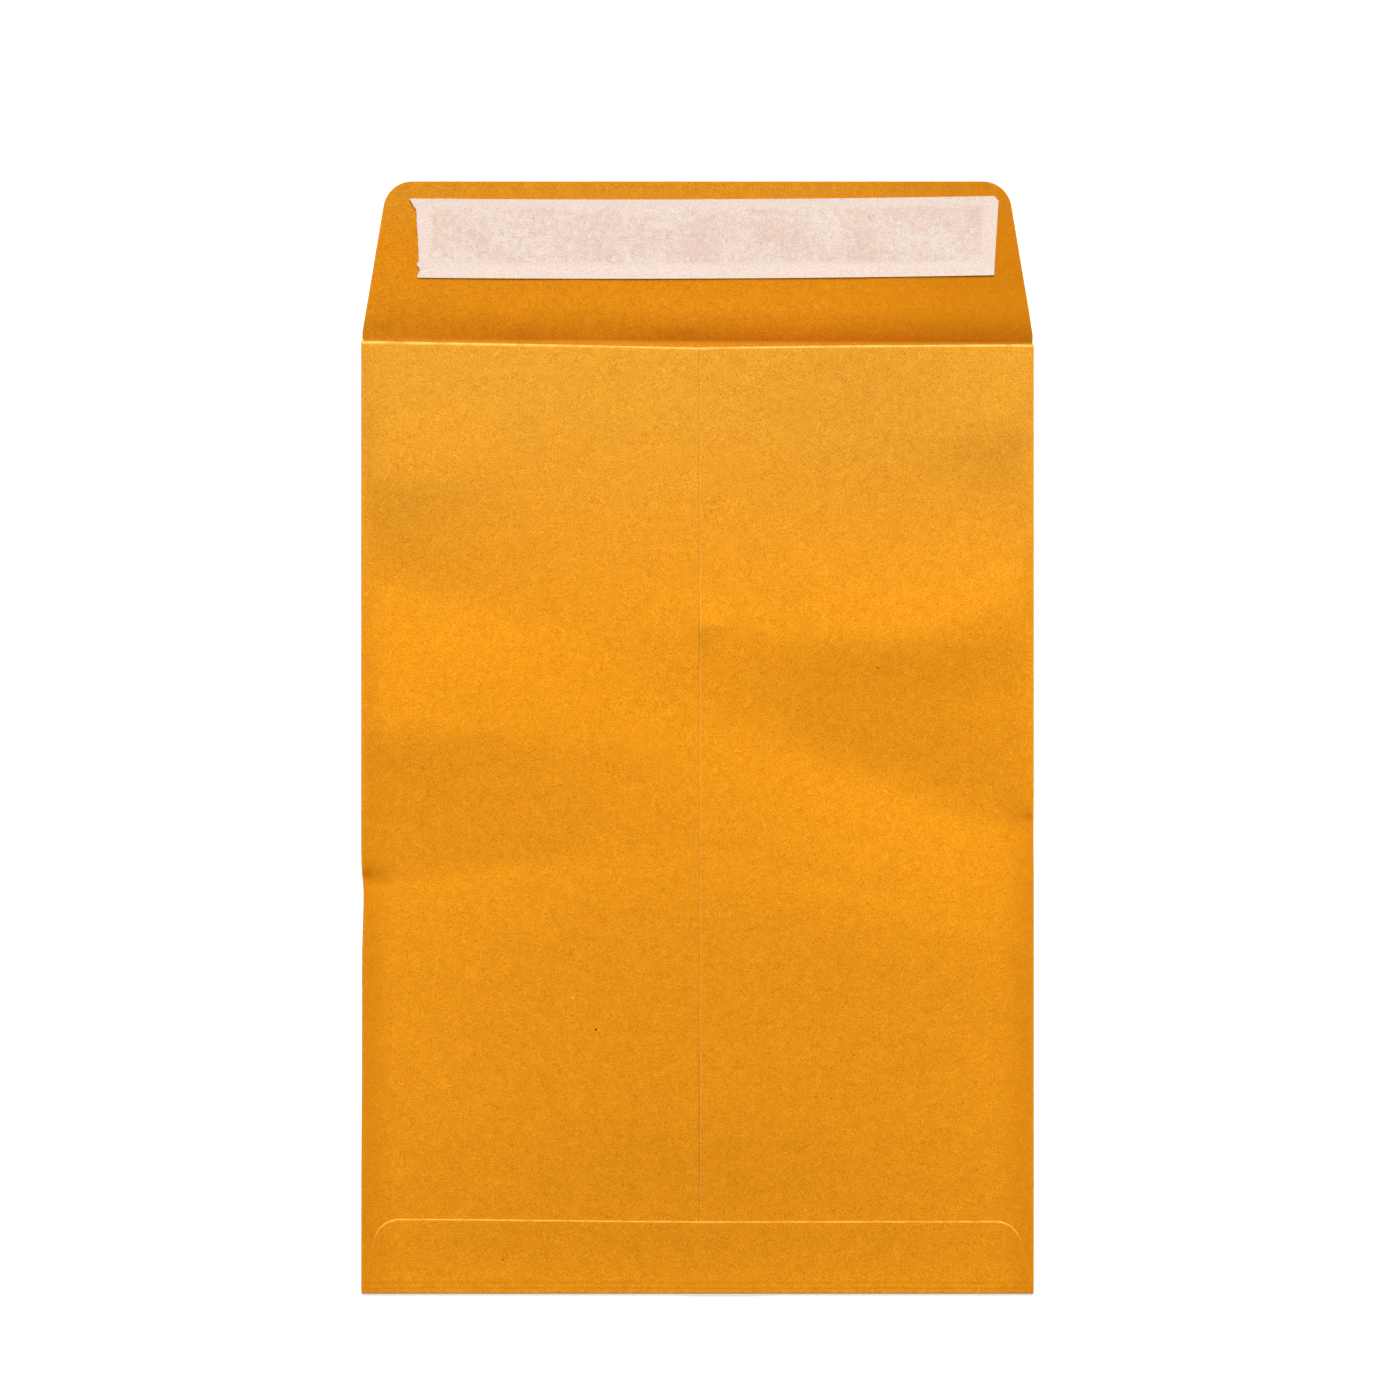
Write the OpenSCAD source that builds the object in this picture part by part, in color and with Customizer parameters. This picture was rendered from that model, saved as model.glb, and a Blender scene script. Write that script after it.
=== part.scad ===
// A kraft paper pocket envelope, lying open with its seam side up.
// One blank of paper is folded round at both sides, lapped and glued down the back,
// and closed by a flap turned up from the bottom. The sealing flap lies open at +Y,
// with a self-seal band under its release liner.

/* [Pocket] */
// Width across the two side folds
body_w = 229; // [170:1:260]
// Length from the bottom fold to the flap crease
body_l = 324; // [240:1:380]
// Thickness of the kraft paper
paper_t = 0.15; // [0.1:0.01:0.25]
// Free space left inside each side fold
side_gap = 0.25; // [0.1:0.05:0.6]
// Free space left inside the pressed bottom end
pressed_gap = 0.03; // [0.02:0.01:0.1]
// Length over which the side folds open out from the pressed bottom end
pressed_l = 45; // [20:1:80]
// How far the lapped panels stop short inside the bottom fold
bottom_trim = 0.2; // [0.1:0.05:1]

/* [Back seam] */
// Place of the upper panel's free edge, right of the centre line
seam_x = 0.8; // [-10:0.1:10]
// Width over which the two back panels lap
seam_lap = 16; // [10:1:24]
// Width over which the paper settles beside the lap
lap_ease = 10; // [6:1:16]
// Thickness of the glue films
glue_t = 0.04; // [0.02:0.01:0.08]
// Clearance on each side of a glue, adhesive or liner film
film_clear = 0.015; // [0.01:0.005:0.03]
// Bare margin between the seam glue and the panel edges
seam_margin = 2; // [1:0.5:4]

/* [Mouth] */
// How far the mouth edge is cut back from the crease at the side folds
mouth_cut_side = 0.4; // [0.2:0.1:2]
// How far the mouth edge is cut back from the crease at the centre
mouth_cut_mid = 2.5; // [1:0.1:5]
// How much higher the crease runs at the left fold than at the right one
crease_skew = 1.2; // [0:0.1:2]

/* [Sealing flap] */
// Length of the open flap from the crease to its free edge
flap_l = 54; // [51:1:80]
// Straight shoulder beside the crease before the sides slant in
flap_shoulder = 2.7; // [1:0.1:6]
// How far each slanted side comes in by the free edge
flap_inset = 9; // [4:0.5:20]
// Radius of the flap's corners
flap_corner_r = 10; // [4:0.5:16]
// Steepness of the flap where it springs up from the crease, in degrees
crease_deg = 13; // [8:0.5:20]
// Steepness of the flat part of the flap, in degrees
flap_deg = 5; // [2:0.5:8]
// Length over which the flap eases from one steepness to the other
crease_ease = 14; // [8:1:18]

/* [Bottom flap] */
// Length of the flap turned up over the back panels
tuck_l = 25.5; // [20:0.5:36]
// Straight shoulder beside the bottom fold
tuck_shoulder = 2.9; // [1:0.1:5]
// How far each slanted side comes in by the free edge
tuck_inset = 6.2; // [3:0.1:12]
// Radius of the bottom flap's corners
tuck_corner_r = 8.5; // [4:0.5:12]
// Bare margin round the glue under the bottom flap
tuck_margin = 3; // [2:0.5:6]

/* [Swell of the back] */
// Height of the arch at its highest place along the pocket
swell_h = 8.2; // [6:0.1:11]
// Distance of that place from the bottom fold
swell_y = 190; // [140:1:220]
// Height of the arch at the mouth
gape_h = 5.8; // [4:0.1:6]
// Distance of the dent in the left fold from the bottom fold
left_dent_y = 138; // [60:1:220]
// Depth of the dent in the left fold
left_dent = 0.8; // [0:0.1:1.5]
// Distance of the dent in the right fold from the bottom fold
right_dent_y = 158; // [60:1:220]
// Depth of the dent in the right fold
right_dent = 0.4; // [0:0.1:1.5]
// Length over which a dent dies out along its fold
dent_reach = 14; // [8:1:30]

/* [Self-seal strip] */
// Distance of the liner's lower edge from the crease, measured up the flap
liner_up = 21.6; // [18:0.1:24]
// Bare margin of the flap at the liner's torn left end, at the liner's upper edge
liner_end_left = 10.6; // [5:0.1:30]
// Bare margin of the flap at the liner's cut right end, at the liner's upper edge
liner_end_right = 4.3; // [3:0.1:30]
// Width of the liner
liner_w = 26.7; // [14:0.1:30]
// Thickness of the liner
liner_t = 0.06; // [0.04:0.01:0.1]
// Turn of the liner against the crease, in degrees
liner_turn = 0.25; // [0:0.05:0.5]
// Thickness of the self-seal band
band_t = 0.06; // [0.04:0.01:0.1]
// Margin of liner below the band
band_margin_low = 5.1; // [2:0.1:6]
// Margin of liner above the band
band_margin_high = 3.2; // [2:0.1:4]
// Margin of liner at each end of the band
band_margin_end = 3.8; // [2:0.1:8]

/* [Hidden] */

KRAFT = [0.93, 0.58, 0.10];
GLUE = [0.90, 0.84, 0.66];
BAND = [0.91, 0.72, 0.62];
LINER = [0.95, 0.85, 0.78];

// The two faces of the sheet
OUTER = 0;
INNER = 1;

// Radii and gaps that follow from the paper
side_r = paper_t + side_gap;
pressed_r = paper_t + pressed_gap;
front_x = body_w / 2 - side_r;
lap_gap = glue_t + 2 * film_clear;
lap_lift_h = paper_t + lap_gap;
tuck_r = pressed_r + (lap_lift_h + lap_gap + paper_t) / 2;

// Counts of cells across and along the sheet
LAP_CELLS = 3;
LEFT_CELLS = 8;
RIGHT_CELLS = 7;
FRONT_SIDE_CELLS = 4;
FOLD_CELLS = 4;
TUCK_CELLS = 3;
BODY_CELLS = 31;
CORNER_CELLS = 6;
SHOULDER_CELLS = 2;
CREASE_CELLS = 4;
// Length of the last row of cells before the mouth edge
MOUTH_ROW = 4;

// Soft ridges and valleys pressed into the back by handling. Each is
// [x, y, turn, reach along, reach across, height]. x and the reach along are shares of
// half the width, y and the reach across are shares of the length, the turn is in
// degrees from the X axis, and the height is a share of the swell, below zero in a valley.
WAVES = [
    [-0.61, 0.642,   3, 0.52, 0.074,  0.15],
    [ 0.57, 0.676,   4, 0.48, 0.068,  0.16],
    [-0.74, 0.441,   6, 0.48, 0.046, -0.15],
    [ 0.65, 0.519, -18, 0.50, 0.046, -0.15],
    [-0.70, 0.768, -14, 0.40, 0.046, -0.09],
    [ 0.67, 0.800,  20, 0.45, 0.046, -0.12]
];
// Share of half the width over which the waves fade out before a side fold, and share of
// the length over which they fade out before the bottom fold
WAVE_FADE = 0.26;
WAVE_FOOT = 0.29;

// Outline of the liner's torn left end, from its lower corner to its upper one.
// Each point is [mm that it stands out, share of the liner's width].
TORN_END = [
    [0.7, 0], [0.7, 0.06], [0, 0.08], [0, 0.17], [0.7, 0.19], [0.4, 0.24],
    [0.2, 0.55], [1, 0.88], [2.9, 0.95], [3.1, 1]
];
// How far the liner's cut right end leans out, and the nick off its upper corner
END_LEAN = 1.5;
END_NICK = 1.6;

function ease(u) = let(c = min(1, max(0, u))) c * c * (3 - 2 * c);

function spaced(from, to, cells, first = 0) =
    [for (i = [first : cells]) from + (to - from) * i / cells];

// Forms of the folded paper

// Outer radius of the side folds, tight at the pressed bottom end
function fold_r(y) = pressed_r + (side_r - pressed_r) * ease(y / pressed_l);

function bump(y, middle, reach) = exp(-pow((y - middle) / reach, 2));

function dent(x, y) = x < 0
    ? left_dent * bump(y, left_dent_y, dent_reach)
    : right_dent * bump(y, right_dent_y, dent_reach);

// Half width of the flat front between its folds, on the side that x is on
function half_front(x, y) = body_w / 2 - fold_r(y) - dent(x, y);

// Places a station of the full width in a row of another half width. The middle half
// of the row stays where it is, so the layers of the lap keep their common stations.
function spread(x, half) = let(kept = front_x / 2)
    abs(x) <= kept ? x : sign(x) * (kept + (abs(x) - kept) * (half - kept) / (front_x - kept));

function arch(x) = 1 - pow(x / front_x, 2);

function swell_along(y) = y < swell_y
    ? swell_h * (1 - cos(180 * y / swell_y)) / 2
    : gape_h + (swell_h - gape_h) * cos(90 * (y - swell_y) / (body_l - swell_y));

function wave(w, x, y) =
    let(dx = x - w[0] * body_w / 2, dy = y - w[1] * body_l)
    let(along = dx * cos(w[2]) + dy * sin(w[2]), across = dy * cos(w[2]) - dx * sin(w[2]))
    w[5] * swell_h * bump(along, 0, w[3] * body_w / 2) * bump(across, 0, w[4] * body_l);

function total(list, i = 0) = i < len(list) ? list[i] + total(list, i + 1) : 0;

function waves(x, y) =
    total([for (w = WAVES) wave(w, x, y)])
    * ease((front_x - abs(x)) / (WAVE_FADE * body_w / 2)) * ease(y / (WAVE_FOOT * body_l));

// Upper face of the lower back layer
function back_z(x, y) = 2 * fold_r(y) + arch(x) * swell_along(y) + waves(x, y);

// How far the right panel is lifted by the left one that it laps
function lap_lift(x) = lap_lift_h * (1 - ease((x - seam_x - seam_lap) / lap_ease));

// Height of the bottom flap's under face over the lower back layer
function tuck_lift(x) = lap_gap + (x < seam_x
    ? lap_lift_h * ease((x - seam_x + lap_ease) / lap_ease)
    : lap_lift(x));

// Under face of the bottom flap
function tuck_z(x, y) = back_z(x, y) + tuck_lift(x);

// Under face of the sealing flap at a distance d from the crease: steep at the crease,
// then flat at its own steepness
function rise(d) =
    let(u = min(1, d / crease_ease), steep = tan(crease_deg), level = tan(flap_deg))
    steep * d + (level - steep) * (crease_ease * (pow(u, 3) - pow(u, 4) / 2)
    + max(0, d - crease_ease));

// How far the mouth edge is cut back from the crease
function mouth_cut(x) =
    mouth_cut_mid + (mouth_cut_side - mouth_cut_mid) * min(1, abs(x) / front_x);

function crease_y(x) = body_l - crease_skew * x / body_w;

// Outlines of the two flaps: [half width at the fold, length, shoulder, inset, corner radius]
FLAP = [front_x, flap_l, flap_shoulder, flap_inset, flap_corner_r];
TUCK = [body_w / 2 - pressed_r, tuck_l, tuck_shoulder, tuck_inset, tuck_corner_r];

function slant(f) = f[3] / (f[1] - f[2]);
function slant_deg(f) = atan(slant(f));
function corner_up(f) = f[1] - f[4];
function corner_x(f) =
    f[0] - slant(f) * (corner_up(f) - f[2]) - f[4] * sqrt(1 + pow(slant(f), 2));
function corner_start(f) = corner_up(f) + f[4] * sin(slant_deg(f));

// Distances from the fold of the rows round a flap's corners
function corner_rows(f) = [for (a = spaced(slant_deg(f), 90, CORNER_CELLS, 1))
    corner_up(f) + f[4] * sin(a)];

// Half width of a flap at a distance d from its fold
function flap_half(f, d) =
    d <= f[2] ? f[0] :
    d <= corner_start(f) ? f[0] - slant(f) * (d - f[2]) :
    corner_x(f) + sqrt(max(0, pow(f[4], 2) - pow(d - corner_up(f), 2)));

// Stations across the blank, from the free edge of the left back panel round to that of
// the right one: [part, x or angle round the fold]
LEFT_BACK = 0;
LEFT_FOLD = 1;
FRONT = 2;
RIGHT_FOLD = 3;
RIGHT_BACK = 4;

lap_end = seam_x + seam_lap;
FRONT_XS = concat(
    spaced(-front_x, seam_x - lap_ease, FRONT_SIDE_CELLS),
    [seam_x, lap_end],
    spaced(lap_end + lap_ease, front_x, FRONT_SIDE_CELLS));
LEFT_XS = concat(
    spaced(lap_end, seam_x, LAP_CELLS),
    spaced(seam_x - lap_ease, -front_x, LEFT_CELLS));
RIGHT_XS = concat(
    spaced(front_x, lap_end + lap_ease, RIGHT_CELLS),
    spaced(lap_end, seam_x, LAP_CELLS));
FOLD_ANGLES = [for (i = [1 : FOLD_CELLS - 1]) 180 * i / FOLD_CELLS];

COLS = concat(
    [for (x = LEFT_XS) [LEFT_BACK, x]],
    [for (a = FOLD_ANGLES) [LEFT_FOLD, 180 - a]],
    [for (x = FRONT_XS) [FRONT, x]],
    [for (a = FOLD_ANGLES) [RIGHT_FOLD, a]],
    [for (x = RIGHT_XS) [RIGHT_BACK, x]]);

// Stations along the blank, from the free edge of the bottom flap to that of the sealing
// flap: [part, distance from the fold or angle round it]
TUCK_FLAP = 0;
BOTTOM_FOLD = 1;
POCKET = 2;
SEAL_FLAP = 3;

// Rows under the straight part of the bottom flap, which its glue shares
GLUED_YS = spaced(tuck_shoulder, corner_start(TUCK), TUCK_CELLS);
last_y = body_l - mouth_cut_mid - MOUTH_ROW;
BODY_YS = concat([tuck_r], GLUED_YS, spaced(corner_start(TUCK), last_y, BODY_CELLS, 1));
SHOULDER_DS = spaced(0, flap_shoulder, SHOULDER_CELLS, 1);
CREASE_DS = spaced(flap_shoulder, crease_ease, CREASE_CELLS, 1);
SEAL_DS = concat(SHOULDER_DS, CREASE_DS, [corner_start(FLAP)], corner_rows(FLAP));
TUCK_YS = concat([tuck_r], GLUED_YS, corner_rows(TUCK));

ROWS = concat(
    [for (i = [len(TUCK_YS) - 1 : -1 : 0]) [TUCK_FLAP, TUCK_YS[i]]],
    [for (a = FOLD_ANGLES) [BOTTOM_FOLD, 180 - a]],
    [for (y = BODY_YS) [POCKET, y]],
    [[POCKET, body_l]],
    [for (d = SEAL_DS) [SEAL_FLAP, d]]);

// Points of the sheet

// A point of a side fold, on the side that s gives
function side_fold_point(s, angle, y, face) =
    let(r = fold_r(y), bend = face == OUTER ? r : r - paper_t)
    [s * (half_front(s, y) + bend * sin(angle)), y, r - bend * cos(angle)];

function back_point(x, y, lift, face) =
    let(px = spread(x, half_front(x, y)))
    [px, y, back_z(x, y) + lift - (face == OUTER ? 0 : paper_t)];

// The back and the folds stop short of the bottom fold and of the crease
function back_y(y, share, x) =
    y == tuck_r ? y + bottom_trim : y == body_l ? crease_y(x) - mouth_cut(x) * share : y;

function front_y(y, x) = y == body_l ? crease_y(x) : y;

function pocket_point(col, y, face) =
    let(kind = col[0], at = col[1])
    kind == FRONT
        ? [spread(at, half_front(at, y)), front_y(y, at), face == OUTER ? 0 : paper_t] :
    kind == LEFT_FOLD ? side_fold_point(-1, at, back_y(y, at / 180, -front_x), face) :
    kind == RIGHT_FOLD ? side_fold_point(1, at, back_y(y, at / 180, front_x), face) :
    back_point(at, back_y(y, 1, at), kind == RIGHT_BACK ? lap_lift(at) : 0, face);

function tuck_point(x, y, face) =
    let(px = spread(x, flap_half(TUCK, y)))
    [px, y, tuck_z(px, y) + (face == OUTER ? paper_t : 0)];

function bottom_fold_point(x, angle, face) =
    let(high = (tuck_z(x, tuck_r) + paper_t) / 2, skin = face == OUTER ? 0 : paper_t)
    [spread(x, half_front(x, tuck_r)),
     tuck_r - (tuck_r - skin) * sin(angle), high - (high - skin) * cos(angle)];

function seal_point(x, d, face) =
    [spread(x, flap_half(FLAP, d)),
     body_l + d - crease_skew * x / body_w * (1 - ease(d / crease_ease)),
     rise(d) + (face == OUTER ? 0 : paper_t)];

function sheet_point(row, col, face) =
    row[0] == POCKET ? pocket_point(col, row[1], face) :
    row[0] == TUCK_FLAP ? tuck_point(col[1], row[1], face) :
    row[0] == BOTTOM_FOLD ? bottom_fold_point(col[1], row[1], face) :
    seal_point(col[1], row[1], face);

// A cell lies between two rows and two columns. Every cell of the pocket is paper,
// but the two flaps are as wide as the front only.
function in_pocket(r) = ROWS[r][0] == POCKET && ROWS[r + 1][0] == POCKET;
function in_front(c) = COLS[c][0] == FRONT && COLS[c + 1][0] == FRONT;
function is_paper(r, c) = in_pocket(r) || in_front(c);

// Two triangles from four corners, given clockwise as seen from outside
function two(q) = [[q[0], q[1], q[2]], [q[0], q[2], q[3]]];

// A closed sheet over m rows and n columns of stations. point(r, c, face) gives the place of
// a station on each face, and there(r, c) tells whether the cell after it is part of the sheet.
module sheet(m, n, point, there) {
    function at(face, r, c) = (face * m + r) * n + c;
    function cell(r, c) = r >= 0 && c >= 0 && r < m - 1 && c < n - 1 && there(r, c);
    function skins(r, c) = concat(
        two([at(0, r, c), at(0, r, c + 1), at(0, r + 1, c + 1), at(0, r + 1, c)]),
        two([at(1, r, c), at(1, r + 1, c), at(1, r + 1, c + 1), at(1, r, c + 1)]));
    // The cut edge from one corner of a cell to the next
    function rim(a, b) =
        two([at(0, a[0], a[1]), at(0, b[0], b[1]), at(1, b[0], b[1]), at(1, a[0], a[1])]);
    function rims(r, c) = concat(
        cell(r, c - 1) ? [] : rim([r, c], [r + 1, c]),
        cell(r, c + 1) ? [] : rim([r + 1, c + 1], [r, c + 1]),
        cell(r - 1, c) ? [] : rim([r, c + 1], [r, c]),
        cell(r + 1, c) ? [] : rim([r + 1, c], [r + 1, c + 1]));
    polyhedron(
        points = [for (face = [OUTER, INNER]) for (r = [0 : m - 1]) for (c = [0 : n - 1])
            point(r, c, face)],
        faces = [for (r = [0 : m - 2]) for (c = [0 : n - 2]) if (cell(r, c))
            each concat(skins(r, c), rims(r, c))],
        convexity = 8);
}

// Puts the origin under the middle of the whole envelope
module centred() {
    translate([0, -(body_l + flap_l) / 2, 0])
        children();
}

module kraft_sheet() {
    color(KRAFT)
        centred()
            sheet(len(ROWS), len(COLS),
                function(r, c, face) sheet_point(ROWS[r], COLS[c], face),
                function(r, c) is_paper(r, c));
}

// A thin film of glue. Its stations xs run to the left, as those of the back panels do, so
// that its cells are split along the same lines as theirs. under(x, y) is its lower face.
module film(xs, ys, across, under) {
    sheet(len(ys), len(xs),
        function(r, c, face)
            let(x = across(xs[c], ys[r]), y = ys[r])
            [x, y, under(x, y) + (face == OUTER ? glue_t : 0)],
        function(r, c) true);
}

// The glue between the two lapped back panels, all along the seam
module seam_glue() {
    color(GLUE)
        centred()
            film([for (x = spaced(lap_end, seam_x, LAP_CELLS))
                    min(lap_end - seam_margin, max(seam_x + seam_margin, x))],
                [for (y = BODY_YS) if (y > tuck_r) y],
                function(x, y) x,
                function(x, y) back_z(x, y) + film_clear);
}

// The glue under the bottom flap
module bottom_glue() {
    color(GLUE)
        centred()
            film([for (i = [len(FRONT_XS) - 1 : -1 : 0]) FRONT_XS[i]], GLUED_YS,
                function(x, y) spread(x, flap_half(TUCK, y) - tuck_margin),
                function(x, y) tuck_z(x, y) - film_clear - glue_t);
}

// Lays flat work on the upper face of the sealing flap, from the liner's lower left corner
module on_flap(height) {
    centred()
        translate([0, body_l + liner_up, rise(liner_up) + paper_t])
            rotate([flap_deg, 0, 0])
                rotate([0, 0, liner_turn])
                    translate([liner_end_left - liner_reach, 0, height])
                        children();
}

// Half width of the flap at the liner's upper edge, and the length that this leaves
liner_reach = flap_half(FLAP, liner_up + liner_w);
liner_l = 2 * liner_reach - liner_end_left - liner_end_right;

module seal_band() {
    color(BAND)
        on_flap(film_clear)
            translate([band_margin_end, band_margin_low, 0])
                cube([liner_l - 2 * band_margin_end,
                    liner_w - band_margin_low - band_margin_high, band_t]);
}

module release_liner() {
    torn = [for (i = [len(TORN_END) - 1 : -1 : 0]) [-TORN_END[i][0], TORN_END[i][1] * liner_w]];
    cut = [[liner_l, 0], [liner_l + END_LEAN, liner_w - END_NICK], [liner_l, liner_w]];
    color(LINER)
        on_flap(2 * film_clear + band_t)
            linear_extrude(liner_t)
                polygon(concat(torn, cut));
}

kraft_sheet();
seam_glue();
bottom_glue();
seal_band();
release_liner();
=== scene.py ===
# %% [markdown]
# This scene dresses a kraft paper envelope that lies open on a pale table, seam side up, and
# is looked at from straight above. Almost all of it is one sheet of paper, so the lesson is
# about folding: the blank is drawn flat, given its thickness, and only then folded.
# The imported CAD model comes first, because every piece has to lie where the CAD says.

# %% Load the frame
import math

import bmesh
import bpy
import numpy as np
from mathutils import Matrix, Vector


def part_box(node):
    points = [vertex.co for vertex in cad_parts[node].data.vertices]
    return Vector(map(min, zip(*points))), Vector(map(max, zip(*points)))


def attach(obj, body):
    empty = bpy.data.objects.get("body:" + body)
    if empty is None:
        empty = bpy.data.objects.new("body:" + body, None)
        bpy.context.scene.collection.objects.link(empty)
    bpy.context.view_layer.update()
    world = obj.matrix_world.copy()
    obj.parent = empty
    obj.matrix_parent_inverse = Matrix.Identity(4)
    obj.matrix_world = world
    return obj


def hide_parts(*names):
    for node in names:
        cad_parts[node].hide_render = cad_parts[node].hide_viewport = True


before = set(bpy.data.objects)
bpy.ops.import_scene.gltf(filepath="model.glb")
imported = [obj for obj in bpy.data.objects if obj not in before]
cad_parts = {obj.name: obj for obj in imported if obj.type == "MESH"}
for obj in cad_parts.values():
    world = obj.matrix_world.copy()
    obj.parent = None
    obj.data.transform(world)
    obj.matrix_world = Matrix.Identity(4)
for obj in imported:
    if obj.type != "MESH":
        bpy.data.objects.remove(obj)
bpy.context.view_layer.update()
MM = 0.001

# %% [markdown]
# The envelope's own sizes, in metres. They are the driving dimensions of the CAD source. The
# two that the frame can tell are read from it, so that they can't drift apart. MM turns
# millimetres, in which paper is measured, into metres.

# %% Sizes of the pocket
PAPER_T = 0.15 * MM
BODY_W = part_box("kraft_sheet")[1].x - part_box("kraft_sheet")[0].x
FLAP_L = 54 * MM
BODY_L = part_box("kraft_sheet")[1].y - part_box("kraft_sheet")[0].y - FLAP_L
SIDE_R = PAPER_T + 0.25 * MM
PRESSED_R = PAPER_T + 0.03 * MM
PRESSED_L = 45 * MM
BOTTOM_TRIM = 0.2 * MM
TRIM_EASE = 2 * MM
FRONT_X = BODY_W / 2 - SIDE_R
MIDDLE_Y = (BODY_L + FLAP_L) / 2
print(f"pocket {BODY_W / MM:.1f} x {BODY_L / MM:.1f} mm, flap {FLAP_L / MM:.1f} mm")

# %% Sizes of the seam, the mouth and the flaps
SEAM_X = 0.8 * MM
SEAM_LAP = 16 * MM
LAP_END = SEAM_X + SEAM_LAP
LAP_EASE = 10 * MM
GLUE_T = 0.04 * MM
FILM_CLEAR = 0.015 * MM
LAP_GAP = GLUE_T + 2 * FILM_CLEAR
LAP_LIFT = PAPER_T + LAP_GAP
TUCK_R = PRESSED_R + (LAP_LIFT + LAP_GAP + PAPER_T) / 2

MOUTH_CUT_SIDE = 0.4 * MM
MOUTH_CUT_MID = 2.5 * MM
MOUTH_ROW = 4 * MM
CREASE_SKEW = 1.2 * MM
CREASE_TAN = math.tan(math.radians(13))
FLAP_TAN = math.tan(math.radians(5))
CREASE_EASE = 14 * MM

# %% Outlines of the two flaps
# Each is its half width at the fold, its length, its straight shoulder, how far its sides
# slant in, and the radius of its corners.
FLAP = dict(half=FRONT_X, length=FLAP_L, shoulder=2.7 * MM, inset=9 * MM, corner=10 * MM)
TUCK = dict(half=BODY_W / 2 - PRESSED_R, length=25.5 * MM, shoulder=2.9 * MM,
            inset=6.2 * MM, corner=8.5 * MM)


def slant(f):
    return f["inset"] / (f["length"] - f["shoulder"])


def corner_up(f):
    return f["length"] - f["corner"]


def corner_x(f):
    straight = f["half"] - slant(f) * (corner_up(f) - f["shoulder"])
    return straight - f["corner"] * math.hypot(1, slant(f))


def flap_half(f, d):
    """Half width of a flap at a distance d from its fold."""
    side = f["half"] - slant(f) * np.maximum(0, d - f["shoulder"])
    start = corner_up(f) + f["corner"] * math.sin(math.atan(slant(f)))
    arc = np.sqrt(np.maximum(0, f["corner"] ** 2 - (d - corner_up(f)) ** 2))
    return np.where(d <= start, side, corner_x(f) + arc)


for name, f in (("sealing", FLAP), ("bottom", TUCK)):
    print(f"the {name} flap's free edge is {2 * corner_x(f) / MM:.1f} mm long")

# %% [markdown]
# The back of a real envelope is never flat. Air and the springy side folds swell it, and
# handling presses soft ridges and valleys into it. All that is one height field over the
# back, so that both lapped panels, the bottom flap and the glue between them can ride on the
# same form. A wave may be steep on one side and soft on the other, as a pressed crease is.

# %% The form of the back
SWELL_H = 8.2 * MM
SWELL_Y = 190 * MM
GAPE_H = 5.8 * MM
# Dents in the left fold and the right one: depth, place, and reach below and above it, in mm
LEFT_DENTS = [(0.75, 137, 16, 6), (0.3, 88, 40, 40)]
RIGHT_DENTS = [(0.1, 157, 10, 8)]
# Ridges and valleys: x, y from the bottom fold, turn in degrees, reach along the ridge, reach
# below it, reach above it, height, and how round its crest is, all in millimetres but the turn
WAVES = [
    # the pressed bottom end springs up into a shoulder, and the mouth gapes right of its middle
    (-5, 62, 0, 120, 26, 80, 2.0, 24),
    (50, 328, 0, 40, 34, 34, 2.1, 16),
    # the middle has settled
    (20, 205, 0, 80, 45, 60, -1.0, 30),
    # left half
    (-84, 192, -4, 62, 16, 30, 1.3, 5),
    (-110, 188, 0, 24, 24, 34, 1.4, 6),
    (-84, 146, 7, 62, 12, 30, -0.9, 6),
    (-50, 146, 5, 60, 4, 4, -0.12, 2),
    (-88, 239, -16, 44, 14, 14, -0.9, 8),
    (-92, 214, -8, 40, 14, 12, 0.4, 8),
    (-85, 282, 22, 40, 16, 16, 0.4, 12),
    (-106, 278, 0, 30, 12, 34, 1.4, 8),
    # right half
    (45, 141, -14, 50, 4, 4, -0.12, 2),
    (62, 222, -2, 56, 16, 16, 1.9, 8),
    (112, 232, 10, 34, 14, 24, 1.2, 8),
    (110, 194, 0, 18, 18, 14, 0.6, 6),
    (66, 174, -21, 58, 16, 18, -2.1, 9),
    (78, 124, -14, 50, 22, 14, 0.8, 14),
    (66, 262, 10, 48, 14, 18, -0.3, 14),
    (36, 246, 14, 24, 10, 12, 0.2, 8),
    (106, 238, 24, 26, 8, 12, 0.6, 4),
    (108, 296, 8, 26, 12, 28, 1.9, 10),
    # a small buckle beside the seam
    (6, 227.5, 0, 8, 3, 4, 0.36, 1.2),
]
EDGE_FADE = 6 * MM
# The pinched places, which reach to the side folds themselves
PINCHES = [
    (-113, 140.2, 0, 7, 4.5, 5, -0.48, 1.0),
    (-112, 147, 0, 7, 5, 16, 0.6, 2),
    (113, 160.2, 0, 7, 4.5, 5, -0.46, 1.0),
    (112, 167, 0, 7, 5, 16, 0.4, 2),
]
PINCH_FADE = 1.5 * MM
FOOT_FADE = 25 * MM


def ease(u):
    c = np.clip(u, 0, 1)
    return c * c * (3 - 2 * c)


def bump(place, middle, reach):
    return np.exp(-(((place - middle) / reach) ** 2))


def fold_r(y):
    """Outer radius of the side folds, tight at the pressed bottom end."""
    return PRESSED_R + (SIDE_R - PRESSED_R) * ease(y / PRESSED_L)


def dented(y, dents):
    return sum(deep * MM * bump(y, at * MM, np.where(y < at * MM, below, above) * MM)
               for deep, at, below, above in dents)


def half_front(x, y):
    """Half width of the flat front between its folds, on the side that x is on."""
    return BODY_W / 2 - fold_r(y) - np.where(x < 0, dented(y, LEFT_DENTS), dented(y, RIGHT_DENTS))


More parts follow.
